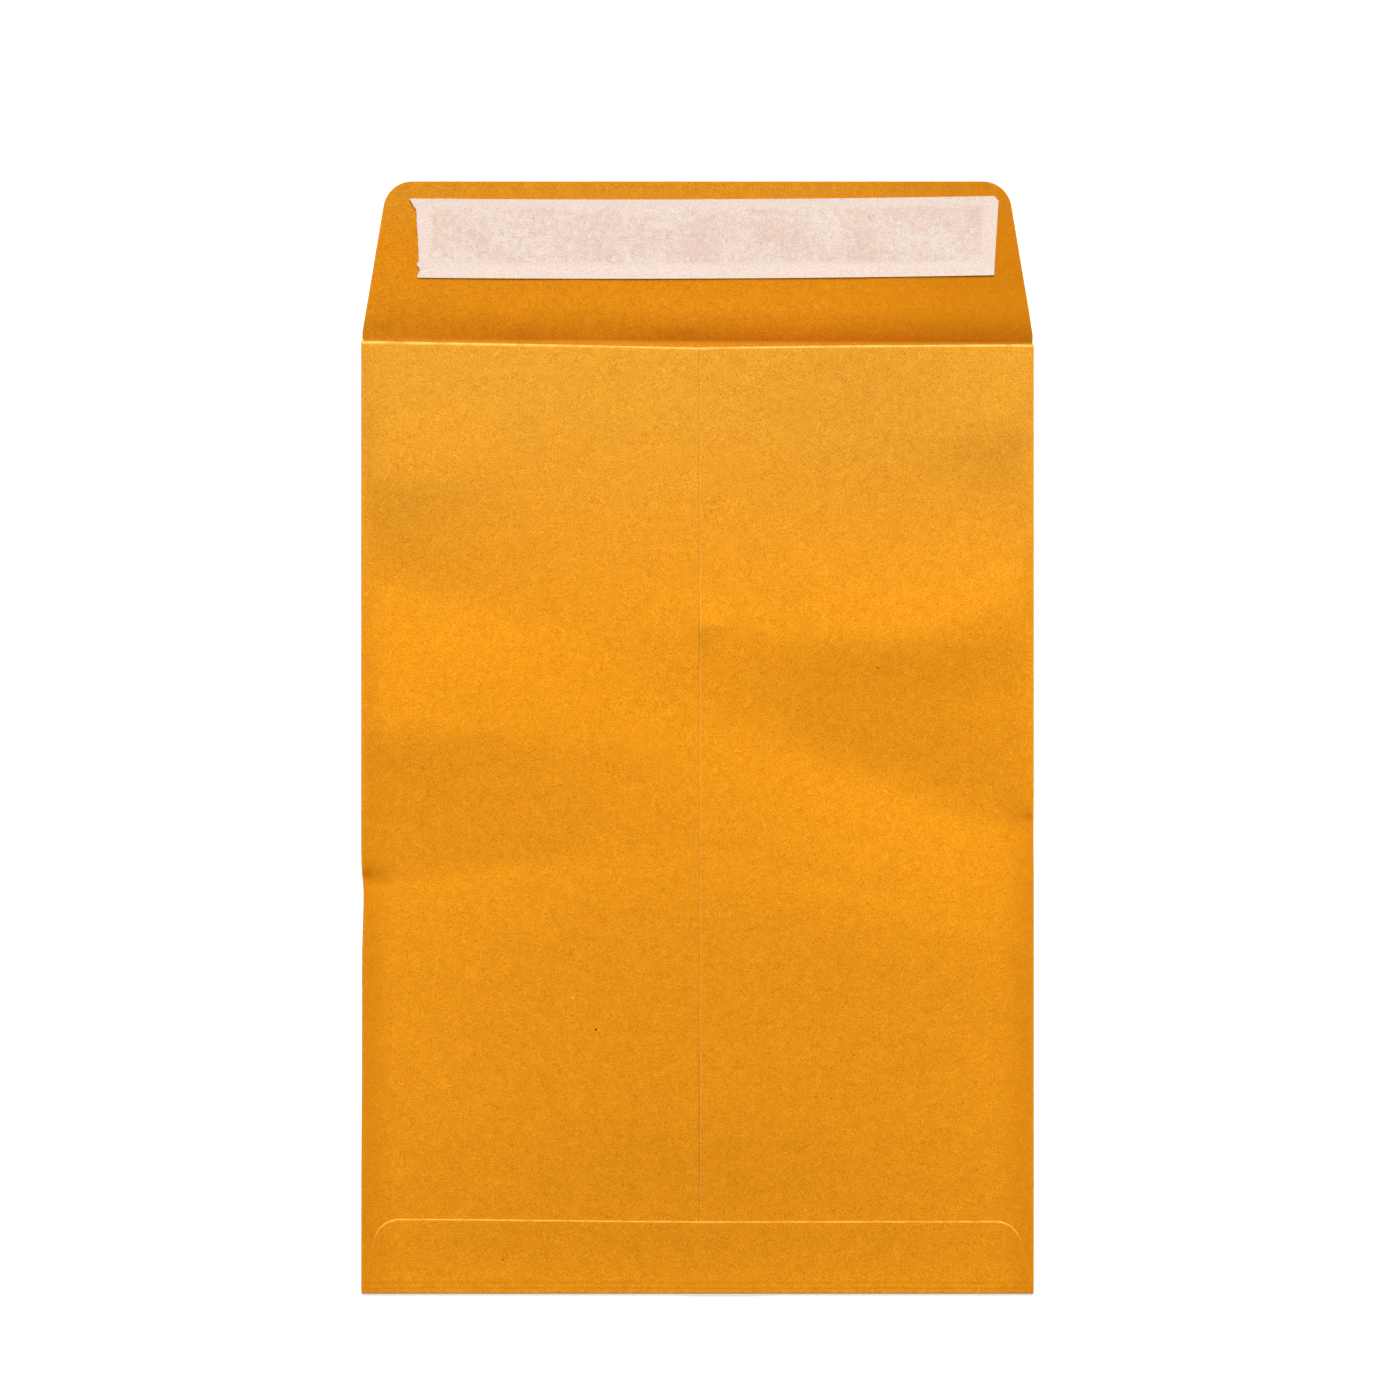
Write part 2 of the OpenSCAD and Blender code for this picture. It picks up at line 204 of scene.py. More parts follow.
def spread(x, half):
    """Places a station of the full width in a row of another half width."""
    kept = FRONT_X / 2
    outer = kept + (np.abs(x) - kept) * (half - kept) / (FRONT_X - kept)
    return np.where(np.abs(x) <= kept, x, np.sign(x) * outer)


def wave(w, x, y):
    """A ridge, or a valley if its height is below zero, with a wall of its own on each side."""
    turn = math.radians(w[2])
    dx, dy = x - w[0] * MM, y - w[1] * MM
    along = dx * math.cos(turn) + dy * math.sin(turn)
    across = dy * math.cos(turn) - dx * math.sin(turn)
    wall, crest = np.where(across < 0, w[4], w[5]) * MM, w[7] * MM
    fall = np.exp(-(np.hypot(across, crest) - crest) / wall)
    return w[6] * MM * bump(along, 0, w[3] * MM) * fall


def back_z(x, y):
    """Upper face of the lower back layer."""
    arch = 1 - (x / FRONT_X) ** 2
    foot = SWELL_H * (1 - np.cos(math.pi * y / SWELL_Y)) / 2
    head = GAPE_H + (SWELL_H - GAPE_H) * np.cos(math.pi / 2 * (y - SWELL_Y) / (BODY_L - SWELL_Y))
    swell = arch * np.where(y < SWELL_Y, foot, head)
    from_fold = FRONT_X - np.abs(x)
    waves = sum(wave(w, x, y) for w in WAVES) * ease(from_fold / EDGE_FADE) * ease(y / FOOT_FADE)
    pinches = sum(wave(w, x, y) for w in PINCHES) * ease(from_fold / PINCH_FADE)
    return 2 * fold_r(y) + swell + waves + pinches


across, along = np.meshgrid(np.linspace(-FRONT_X, FRONT_X, 200), np.linspace(0, BODY_L, 300))
field = back_z(across, along)
pinched = (np.abs(across) > 100 * MM) & (along > 130 * MM) & (along < 170 * MM)
print(f"the back is {field.max() / MM:.2f} mm high at its crown, and has "
      f"{(field - 2 * PAPER_T).min() / MM:.2f} mm or more of air below it, "
      f"{(field[pinched] - 2 * PAPER_T).min() / MM:.2f} mm at the pinches")

# %% [markdown]
# Where the right panel laps the left one it lies a paper and a glue film higher, and the
# bottom flap rides over both. The free edge of the seam has sprung up a little in three places.

# %% Layers on the back
# Place along the seam, reach and height, in millimetres
SEAM_LIFTS = [(226, 6, 0.5), (64, 20, 0.2), (322, 4, 0.25)]
SEAM_LIFT_W = 7 * MM


def lap_lift(x):
    """How far the right panel is lifted by the left one that it laps."""
    return LAP_LIFT * (1 - ease((x - LAP_END) / LAP_EASE))


def seam_lift(x, y):
    """How far the free edge of the right panel has come unstuck and springs up."""
    lifts = sum(high * MM * bump(y, at * MM, reach * MM) for at, reach, high in SEAM_LIFTS)
    return lifts * ease(1 - (x - SEAM_X) / SEAM_LIFT_W)


def tuck_z(x, y):
    """Under face of the bottom flap."""
    left = LAP_LIFT * ease((x - SEAM_X + LAP_EASE) / LAP_EASE)
    return back_z(x, y) + LAP_GAP + np.where(x < SEAM_X, left, lap_lift(x))


def rise(d):
    """Under face of the sealing flap at a distance d from its crease."""
    u = np.clip(d / CREASE_EASE, 0, 1)
    eased = CREASE_EASE * (u ** 3 - u ** 4 / 2) + np.maximum(0, d - CREASE_EASE)
    return CREASE_TAN * d + (FLAP_TAN - CREASE_TAN) * eased


print(f"the flap's free edge is {rise(FLAP_L) / MM:.2f} mm up")

# %% [markdown]
# The blank is one flat grid. Its lines aren't evenly spaced: each fold needs several lines
# within a millimetre to turn round, each cut edge has a line just inside it, and the rounded
# corners need closer rows. So the grid operator makes the right number of cells, and every
# line is then slid to its station. Stations are x across the blank and y along it, measured
# on the paper, so the side folds and the back panels lie outside the front's width.

# %% Stations of the blank
STEP = 2.4 * MM
# The pale line along a cut edge, its paler fibres and a painted highlight, which is wider at the
# mouth
EDGE_W = 0.4 * MM
MOUTH_EDGE_W = EDGE_W / 0.3
FOLD_W = math.pi * SIDE_R
LEFT_U = -(2 * FRONT_X + FOLD_W + LAP_END)
RIGHT_U = 2 * FRONT_X + FOLD_W - SEAM_X
TUCK_V = TUCK_R - math.pi * TUCK_R
FOLD_CELLS = 8
CORNER_CELLS = 12
PRESS_W = 0.7 * MM
# Distances in mm from the seam's free edge, where it springs up
SPRUNG_COLUMNS = (12, 10.5, 9, 7.5, 6, 4.5, 3, 1.6)


def spaced(start, end, cells):
    return [start + (end - start) * i / cells for i in range(cells + 1)]


def stations(places, step=STEP):
    """The places, with more between any two that are further apart than a step."""
    found = [places[0]]
    for a, b in zip(places, places[1:]):
        found += spaced(a, b, max(1, math.ceil((b - a) / step - 0.01)))[1:]
    return found


def corner_rows(f):
    """Distances from the fold of the rows round a flap's corners, ending at its free edge."""
    start = math.atan(slant(f))
    angles = spaced(start, math.pi / 2, CORNER_CELLS)
    return [corner_up(f) + f["corner"] * math.sin(a) for a in angles]


right_fold = spaced(FRONT_X, FRONT_X + FOLD_W, FOLD_CELLS)
side = [FRONT_X - PRESS_W, FRONT_X - EDGE_W, *right_fold, FRONT_X + FOLD_W + PRESS_W]
ACROSS = stations([LEFT_U, LEFT_U + EDGE_W, *[-u for u in reversed(side)], *side,
                   *[RIGHT_U - inside * MM for inside in SPRUNG_COLUMNS],
                   RIGHT_U - EDGE_W, RIGHT_U])
# The bottom flap is drawn below the bottom fold, so its rows run down from there
tuck_rows = [TUCK_V - (y - TUCK_R)
             for y in reversed([TUCK_R, TUCK["shoulder"], *corner_rows(TUCK)])]
flap_rows = [BODY_L + d for d in [0, PRESS_W, FLAP["shoulder"], CREASE_EASE, *corner_rows(FLAP)]]
# Closer rows where the side folds are pinched and where the seam has buckled
fine_rows = [*spaced(130 * MM, 148 * MM, 15), *spaced(153 * MM, 163 * MM, 8),
             *spaced(219 * MM, 235 * MM, 16)]
mouth_rows = [BODY_L - MOUTH_CUT_MID - MOUTH_ROW, BODY_L - MOUTH_EDGE_W]
ALONG = stations([*tuck_rows, *spaced(TUCK_V, TUCK_R, FOLD_CELLS)[1:], TUCK_R + PRESS_W,
                  *fine_rows, *mouth_rows, *flap_rows])
print(f"{len(ACROSS)} stations across {(RIGHT_U - LEFT_U) / MM:.1f} mm of paper, "
      f"{len(ALONG)} along {(ALONG[-1] - ALONG[0]) / MM:.1f} mm")

# %% Cut the blank
def flat_grid(across, along):
    """A unit grid whose lines are slid to their stations."""
    bm = bmesh.new()
    columns, rows = len(across) - 1, len(along) - 1
    bmesh.ops.create_grid(bm, x_segments=columns, y_segments=rows, size=1)
    for vert in bm.verts:
        column, row = round((vert.co.x + 1) / 2 * columns), round((vert.co.y + 1) / 2 * rows)
        vert.co = (across[column], along[row], 0)
    return bm


blank = flat_grid(ACROSS, ALONG)
waste = []
for face in blank.faces:
    place = face.calc_center_median()
    if abs(place.x) > FRONT_X and not TUCK_R < place.y < BODY_L:
        waste.append(face)
bmesh.ops.delete(blank, geom=waste, context="FACES")
print(f"the blank has {len(blank.faces)} cells, after {len(waste)} beside the flaps were cut away")

# %% [markdown]
# Paper gets its thickness while it is still flat. Solidify adds the second skin and the cut
# edge between them, and each vertex then knows how deep in the paper it lies. When the sheet
# is folded, that depth gives the inside of a fold its smaller radius, so that even the tight
# bottom fold doesn't cut into itself, which a Solidify after the fold would.

# %% Give the blank its thickness
def thicken(bm, thickness):
    """Adds a second skin above the flat one, and the cut edge between them."""
    for face in bm.faces:
        if face.normal.z > 0:
            face.normal_flip()
    bmesh.ops.solidify(bm, geom=bm.faces[:], thickness=thickness)
    for edge in bm.edges:
        upright = abs(edge.verts[0].co.z - edge.verts[1].co.z) > thickness / 2
        rim = any(abs(face.normal.z) < 0.5 for face in edge.link_faces)
        edge.smooth = not (rim and not upright)
    for face in bm.faces:
        face.smooth = True


def in_scene(name, data):
    made = bpy.data.objects.new(name, data)
    bpy.context.scene.collection.objects.link(made)
    return made


def mesh_piece(name, bm):
    mesh = bpy.data.meshes.new(name)
    bm.to_mesh(mesh)
    bm.free()
    return in_scene(name, mesh)


blank.normal_update()
thicken(blank, PAPER_T)
kraft = mesh_piece("folded_kraft", blank)
print(len(kraft.data.vertices), "vertices, in two skins")

# %% [markdown]
# Folding is one function from the blank to the envelope, the same steps that the folding
# machine takes: the sides go round to the back and lap, the bottom flap comes up over them,
# and the sealing flap springs up from its crease. numpy moves all the vertices at once.
# Vertex moves are the right tool here because each fold keeps its layers a paper apart.

# %% Folds of the pocket
HAIR = 0.001 * MM


def mouth_ramp(v):
    """0 up to the last rows before the mouth, 1 at the mouth."""
    row = MOUTH_CUT_MID + MOUTH_ROW
    return np.clip((v - BODY_L + row) / row, 0, 1)


def crease_offset(x):
    """The crease runs a little higher at the left fold than at the right one."""
    return -CREASE_SKEW * x / BODY_W


def mouth_cut(x):
    side = np.minimum(1, np.abs(x) / FRONT_X)
    return MOUTH_CUT_MID + (MOUTH_CUT_SIDE - MOUTH_CUT_MID) * side


def fold_share(u):
    """0 on the front, 1 on the back, and the share of the turn on a side fold."""
    return np.clip((np.abs(u) - FRONT_X) / FOLD_W, 0, 1)


def pocket_x(u):
    """The place across, before the folds' own radius and dents are taken off."""
    beyond = np.abs(u) - FRONT_X
    back = FRONT_X - (beyond - FOLD_W)
    return np.where(beyond <= 0, u, np.sign(u) * np.where(beyond < FOLD_W, FRONT_X, back))


def pocket_y(u, v):
    x, share = pocket_x(u), fold_share(u)
    foot = BOTTOM_TRIM * share * np.clip(1 - (v - TUCK_R) / TRIM_EASE, 0, 1)
    return v + foot + (crease_offset(x) - mouth_cut(x) * share) * mouth_ramp(v)


def fold_pocket(u, v, w):
    x, y, share = pocket_x(u), pocket_y(u, v), fold_share(u)
    half, r = half_front(np.sign(u), y), fold_r(y)
    turn = share * math.pi
    right_panel = (share >= 1) & (u > 0)
    lift = np.where(right_panel, lap_lift(x) + seam_lift(x, y), 0)
    on_fold = (share > 0) & (share < 1)
    z = np.where(on_fold, r - (r - w) * np.cos(turn),
                 np.where(share >= 1, back_z(x, y) + lift - w, w))
    flat_x = spread(x, half_front(x, y))
    return np.where(on_fold, np.sign(u) * (half + (r - w) * np.sin(turn)), flat_x), y, z


# %% Folds of the two flaps
def fold_bottom(u, v, w):
    turn = np.clip((TUCK_R - v) / TUCK_R, 0, math.pi)
    high = (tuck_z(u, TUCK_R) + PAPER_T) / 2
    x = spread(u, half_front(u, TUCK_R))
    return x, TUCK_R - (TUCK_R - w) * np.sin(turn), high - (high - w) * np.cos(turn)


TUCK_SHORT = 0.75 * MM
SHORT_FROM, SHORT_TO = -100 * MM, 10 * MM


def tuck_cut(x):
    """How much shorter than its outline the bottom flap was cut, more so to the right."""
    return TUCK_SHORT * ease((x - SHORT_FROM) / (SHORT_TO - SHORT_FROM))


def fold_tuck(u, v, w):
    y = TUCK_R + TUCK_V - v
    x = spread(u, flap_half(TUCK, y))
    y = y - tuck_cut(x) * ease((y - TUCK["shoulder"]) / (TUCK["length"] - TUCK["shoulder"]))
    return x, y, tuck_z(x, y) + PAPER_T - w


# Place across, reach, and how much steeper the flap leaves its crease there
CREASE_WAVES = [(10, 60, 0.08), (100, 44, 0.10), (-105, 26, -0.06), (-36, 9, -0.04),
                (-59, 8, 0.05), (-4, 7, 0.03)]
CREASE_WAVES_END = 18 * MM


def flap_ripple(x, d):
    """The crease doesn't spring up evenly: it is flatter near its left end."""
    fade = np.clip(1 - d / CREASE_WAVES_END, 0, 1) ** 2
    uneven = sum(steeper * bump(x, at * MM, reach * MM) for at, reach, steeper in CREASE_WAVES)
    return uneven * d * fade


def fold_flap(u, v, w):
    d = v - BODY_L
    x = spread(u, flap_half(FLAP, d))
    y = v + crease_offset(x) * (1 - ease(d / CREASE_EASE))
    return x, y, rise(d) + flap_ripple(x, d) + w


def on_parts(v):
    """Which places lie on the sealing flap, on the bottom flap and on the bottom fold.
    A row that lies on a limit itself belongs to the part before it."""
    return [v > BODY_L + HAIR, v < TUCK_V - HAIR, v < TUCK_R - HAIR]


def folded(u, v, w):
    """Where the place u across, v along and w deep in the blank lies on the envelope."""
    folds = (fold_flap, fold_tuck, fold_bottom, fold_pocket)
    places = zip(*[fold(u, v, w) for fold in folds])
    return [np.select(on_parts(v), on_flaps, in_pocket) for *on_flaps, in_pocket in places]


# %% [markdown]
# The material has to know what the paper has been through. So before the sheet is folded,
# each vertex gets a few attributes: how near it is to a cut edge that shows, how near to a
# pressed fold, and which face of the paper it is on. A UV map keeps the flat blank's own
# coordinates, in metres.

# %% Distances on the blank
# How strongly the pale line, which is partly a painted highlight, shows at the seam, on the
# sealing flap, and on the bottom flap's sides below its corners, where the edge is pressed
# down or hidden from the light
SEAM_SHOWS, FLAP_SHOWS, TUCK_SIDE_SHOWS = 0.5, 0.5, 0.2
TUCK_SIDE_EASE = 5 * MM


def edge_distance(f, x, d):
    """How far a place on a flap lies inside its cut edge."""
    turn = math.atan(slant(f))
    to_side = (flap_half(f, d) - np.abs(x)) * math.cos(turn)
    to_end = f["length"] - d
    past_x, past_d = np.abs(x) - corner_x(f), d - corner_up(f)
    in_corner = (past_x > 0) & (past_d > 0)
    to_arc = f["corner"] - np.hypot(past_x, past_d)
    return np.where(in_corner, np.minimum(to_arc, to_side), np.minimum(to_side, to_end))


def close_to(distance, line=EDGE_W):
    return np.clip(1 - distance / line, 0, 1)


def cut_edge(u, v):
    """1 at a cut edge of the blank, 0 from a line's width inside it."""
    seam = SEAM_SHOWS * close_to(np.minimum(u - LEFT_U, RIGHT_U - u))
    mouth = close_to(np.where(fold_share(u) > 0, BODY_L - v, 1), MOUTH_EDGE_W)
    y = TUCK_R + TUCK_V - v
    tuck = close_to(edge_distance(TUCK, spread(u, flap_half(TUCK, y)), y))
    at_end = ease((y - corner_up(TUCK)) / TUCK_SIDE_EASE)
    tuck *= TUCK_SIDE_SHOWS + (1 - TUCK_SIDE_SHOWS) * at_end
    flap = close_to(edge_distance(FLAP, spread(u, flap_half(FLAP, v - BODY_L)), v - BODY_L))
    return np.select(on_parts(v), [flap * FLAP_SHOWS, tuck, 0], np.maximum(seam, mouth))


def fold_line(u, v):
    """1 on a pressed fold, 0 from a line's width beside it."""
    to_side = np.maximum(0, np.abs(np.abs(u) - FRONT_X - FOLD_W / 2) - FOLD_W / 2)
    to_bottom = np.maximum(0, np.abs(v - (TUCK_R + TUCK_V) / 2) - (TUCK_R - TUCK_V) / 2)
    to_crease = np.where(np.abs(u) > FRONT_X, 1, np.abs(v - BODY_L))
    in_pocket = (v >= TUCK_R) & (v <= BODY_L)
    near = np.minimum(np.where(in_pocket, to_side, 1), np.minimum(to_bottom, to_crease))
    return close_to(near, PRESS_W)


# %% Fold the sheet
def stored(piece, name, values):
    piece.data.attributes.new(name, "FLOAT", "POINT").data.foreach_set(
        "value", values.astype(np.float32))


def stations_of(piece):
    co = np.empty(len(piece.data.vertices) * 3, np.float32)
    piece.data.vertices.foreach_get("co", co)
    return co.reshape(-1, 3).astype(float).T


def move_to(piece, x, y, z):
    """Moves the vertices to places that count y from the bottom end of the envelope."""
    places = np.stack([x, y - MIDDLE_Y, z], 1)
    piece.data.vertices.foreach_set("co", places.astype(np.float32).ravel())
    piece.data.update()


def store_uv(piece, name, u, v):
    layer = piece.data.uv_layers.new(name=name)
    corner = np.empty(len(piece.data.loops), np.int32)
    piece.data.loops.foreach_get("vertex_index", corner)
    layer.data.foreach_set("uv", np.stack([u[corner], v[corner]], 1).astype(np.float32).ravel())


EDGE_DROP = 0.05 * MM
u, v, w = stations_of(kraft)
stored(kraft, "cut_edge", cut_edge(u, v))
stored(kraft, "fold_line", fold_line(u, v))
stored(kraft, "inside", w / PAPER_T)
store_uv(kraft, "blank", u, v)
x, y, z = folded(u, v, w)
# The shears leave the upper corner of a cut edge a little rounded
on_top = (fold_share(u) > 0.9) | (v < TUCK_V)
z -= EDGE_DROP * cut_edge(u, v) * (1 - w / PAPER_T) * on_top
move_to(kraft, x, y, z)
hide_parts("kraft_sheet")
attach(kraft, "root")
print("the folded sheet spans", (np.ptp([x, y, z], axis=1) / MM).round(2), "mm")


# %% [markdown]
# Between the lapped panels and under the bottom flap lie two thin films of dried glue. Only
# their edges can ever be seen. They follow the same height field as the paper, so they are
# grids moved onto it, and not flat strips that would break through the waves.

# %% Lay the glue films
SEAM_MARGIN = 2 * MM
TUCK_MARGIN = 3 * MM
GLUE_STEP = 4 * MM


def glue_film(name, node, xs, ys, place, under):
    """A film over the stations xs and ys. place gives x and under gives the lower face."""
    bm = flat_grid(xs, ys)
    bm.normal_update()
    thicken(bm, GLUE_T)
    film = mesh_piece(name, bm)
    sx, sy, sz = stations_of(film)
    px = place(sx, sy)
    move_to(film, px, sy, under(px, sy) + sz)
    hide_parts(node)
    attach(film, "root")
    low, high = np.array(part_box(node))
    print(name, "replaces a node of", ((high - low) / MM).round(1), "mm")
    return film


glue_top = corner_up(TUCK) + TUCK["corner"] * math.sin(math.atan(slant(TUCK)))
seam_film = glue_film(
    "seam_glue_film", "seam_glue",
    stations([SEAM_X + SEAM_MARGIN, LAP_END - SEAM_MARGIN], GLUE_STEP),
    stations([TUCK["shoulder"], BODY_L - MOUTH_CUT_MID - MOUTH_ROW], GLUE_STEP),
    lambda x, y: x,
    lambda x, y: back_z(x, y) + FILM_CLEAR)
bottom_film = glue_film(
    "bottom_glue_film", "bottom_glue",
    stations([-FRONT_X, SEAM_X - LAP_EASE, SEAM_X, LAP_END, LAP_END + LAP_EASE, FRONT_X],
             GLUE_STEP),
    stations([TUCK["shoulder"], glue_top], GLUE_STEP),
    lambda x, y: spread(x, flap_half(TUCK, y) - TUCK_MARGIN),
    lambda x, y: tuck_z(x, y) - FILM_CLEAR - GLUE_T)

# %% [markdown]
# The release liner is a strip of thin coated paper over the self-seal band. It was torn off a
# roll at its left end and cut at its right one, it bows a little along its length, and its
# bare margins have curled up off the flap. It starts as a flat grid too. Its left column of
# vertices is slid onto the torn profile, and the cells beside it take up the difference.

# %% Sizes of the liner
LINER_UP = 22.0 * MM
LINER_W = 26.7 * MM
LINER_T = 0.06 * MM
LINER_END_LEFT = 11.2 * MM
LINER_END_RIGHT = 4.8 * MM
LINER_TURN = math.radians(0.25)
LINER_REACH = float(flap_half(FLAP, LINER_UP + LINER_W))
LINER_L = 2 * LINER_REACH - LINER_END_LEFT - LINER_END_RIGHT
LINER_BOW = 0.7 * MM
END_LEAN = 1.5 * MM
END_NICK = 1.6 * MM
BAND_T = 0.06 * MM
BAND_LOW, BAND_HIGH, BAND_END = 5.1 * MM, 3.2 * MM, 3.8 * MM
# The torn end, from its lower corner up: how far it stands out, and the share of the width
TORN_END = [(0.7, 0), (0.8, 0.03), (0, 0.09), (0.1, 0.12), (0.8, 0.15), (1.0, 0.18), (0.25, 0.21),
            (1.0, 0.866), (1.6, 0.888), (2.6, 0.95), (3.3, 1)]
print(f"the liner is {LINER_L / MM:.1f} x {LINER_W / MM:.1f} mm")

# %% Cut the liner
LINER_STEP = 1.2 * MM
TEAR_STEP = 0.4 * MM
FRAY = 0.1 * MM
END_ZONE = 6 * MM
torn_out = [out * MM for out, _ in TORN_END]
torn_up = [share * LINER_W for _, share in TORN_END]
liner_xs = stations([0, END_ZONE, LINER_L], LINER_STEP)
liner_ys = stations(torn_up, TEAR_STEP)
strip = flat_grid(liner_xs, liner_ys)
for edge in strip.edges:
    edge.smooth = not edge.is_boundary
liner = mesh_piece("liner_strip", strip)
sx, sy, _ = stations_of(liner)
random = np.random.default_rng(7)
fray = random.uniform(-FRAY, FRAY, len(liner_ys))
torn = np.interp(sy, torn_up, torn_out) + np.interp(sy, liner_ys, fray)
nick = np.clip((sy - LINER_W + END_NICK) / END_NICK, 0, 1)
cut = END_LEAN * (np.minimum(sy, LINER_W - END_NICK) / (LINER_W - END_NICK) - nick)
left_share = np.clip(1 - sx / END_ZONE, 0, 1)
right_share = np.clip((sx - LINER_L + END_ZONE) / END_ZONE, 0, 1)
flat_x = sx - torn * left_share + cut * right_share
bow = LINER_BOW * (1 - (2 * sx / LINER_L - 1) ** 2)
store_uv(liner, "strip", flat_x, sy)
print(f"the torn end stands out by up to {torn.max() / MM:.1f} mm")

# %% Curl the liner's margins and lay it on the flap
BAND_TOP = 2 * FILM_CLEAR + BAND_T
CURL_H = 0.02 * MM
CREEP_H, CREEP_WAVE = 0.05 * MM, 17 * MM
CORNER_H, CORNER_X, CORNER_REACH = 0.12 * MM, -2.5 * MM, 4 * MM


def inside_by(a, low, high):
    """How far a place lies inside a stretch, below zero outside it."""
    return np.minimum(a - low, high - a)


margin = -inside_by(sy, BAND_LOW, LINER_W - BAND_HIGH)
end_margin = -inside_by(flat_x, BAND_END, LINER_L - BAND_END)
off_band = np.maximum(margin / BAND_HIGH, end_margin / BAND_END)
curl = CURL_H * np.clip(off_band, 0, 1.6) ** 2
creep = CREEP_H * np.sin(sx / CREEP_WAVE) * np.clip(off_band, 0, 1)
near_corner = bump(flat_x, CORNER_X, CORNER_REACH) * bump(sy, LINER_W, CORNER_REACH)
height = BAND_TOP + curl + np.abs(creep) + CORNER_H * near_corner
places = np.stack([flat_x, sy - bow, height], 1)
liner.data.vertices.foreach_set("co", places.astype(np.float32).ravel())
on_flap = (
    Matrix.Translation((0, BODY_L + LINER_UP - MIDDLE_Y, rise(LINER_UP) + PAPER_T))
    @ Matrix.Rotation(math.atan(FLAP_TAN), 4, "X")
    @ Matrix.Rotation(LINER_TURN, 4, "Z")
    @ Matrix.Translation((LINER_END_LEFT - LINER_REACH, 0, 0))
)
liner.data.transform(on_flap)
for polygon in liner.data.polygons:
    polygon.use_smooth = True
thickness = liner.modifiers.new("paper thickness", "SOLIDIFY")
thickness.thickness = LINER_T
thickness.offset = 1
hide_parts("release_liner")
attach(liner, "root")
print(f"the torn corner stands {height.max() / MM:.2f} mm off the flap")

# %% [markdown]
# Materials next. Every paper here has the same make-up: short felted fibres that catch the
# light, a cloudy formation from how the pulp settled, and a faint relief. Two materials use
# it, so it is one node group with named sockets, placed in each with its own values.

# %% Helpers for node trees
def node(tree, kind, **settings):
    made = tree.nodes.new(kind)
    for name, value in settings.items():
        setattr(made, name, value)
    return made


def feed(tree, socket, source):
    """Links a source socket, or sets a plain value."""
    if isinstance(source, bpy.types.NodeSocket):
        tree.links.new(source, socket)
    else:
        socket.default_value = source


def maths(tree, operation, *values):
    made = node(tree, "ShaderNodeMath", operation=operation)
    for socket, value in zip(made.inputs, values):
        feed(tree, socket, value)
    return made.outputs[0]


def times(tree, first, second):
    return maths(tree, "MULTIPLY", first, second)


def vector_maths(tree, operation, *values):
    made = node(tree, "ShaderNodeVectorMath", operation=operation)
    for socket, value in zip(made.inputs, values):
        feed(tree, socket, value)
    return made.outputs["Value" if operation == "LENGTH" else "Vector"]


def split(tree, vector):
    """The X, Y and Z of a vector."""
    made = node(tree, "ShaderNodeSeparateXYZ")
    tree.links.new(vector, made.inputs[0])
    return made.outputs


def mixed(tree, factor, first, second, blend="MIX"):
    made = node(tree, "ShaderNodeMix", data_type="RGBA", blend_type=blend)
    for name, value in (("Factor_Float", factor), ("A_Color", first), ("B_Color", second)):
        feed(tree, next(s for s in made.inputs if s.identifier == name), value)
    return next(s for s in made.outputs if s.identifier == "Result_Color")


def mapped(tree, value, low, high, to_low=0.0, to_high=1.0, smooth=True):
    kind = "SMOOTHSTEP" if smooth else "LINEAR"
    made = node(tree, "ShaderNodeMapRange", interpolation_type=kind)
    for socket, source in zip(made.inputs, (value, low, high, to_low, to_high)):
        feed(tree, socket, source)
    return made.outputs[0]


def noise(tree, vector, scale, detail=2.0, roughness=0.5):
    made = node(tree, "ShaderNodeTexNoise")
    given = {"Vector": vector, "Scale": scale, "Detail": detail, "Roughness": roughness}
    for name, value in given.items():
        feed(tree, made.inputs[name], value)
    return made.outputs["Fac"]


def attribute(tree, name):
    return node(tree, "ShaderNodeAttribute", attribute_name=name).outputs["Fac"]


def group_tree(name, inputs, outputs):
    """A node group with named sockets, and its two end nodes."""
    tree = bpy.data.node_groups.new(name, "ShaderNodeTree")
    for way, sockets in (("INPUT", inputs), ("OUTPUT", outputs)):
        for socket, kind in sockets:
            tree.interface.new_socket(socket, in_out=way, socket_type=kind)
    return tree, node(tree, "NodeGroupInput").outputs, node(tree, "NodeGroupOutput").inputs


def placed(tree, group, **values):
    """Puts a group in a tree. Underscores in a socket's name stand for spaces."""
    made = node(tree, "ShaderNodeGroup", node_tree=group)
    for name, value in values.items():
        feed(tree, made.inputs[name.replace("_", " ")], value)
    return made.outputs


VECTOR, FLOAT = "NodeSocketVector", "NodeSocketFloat"

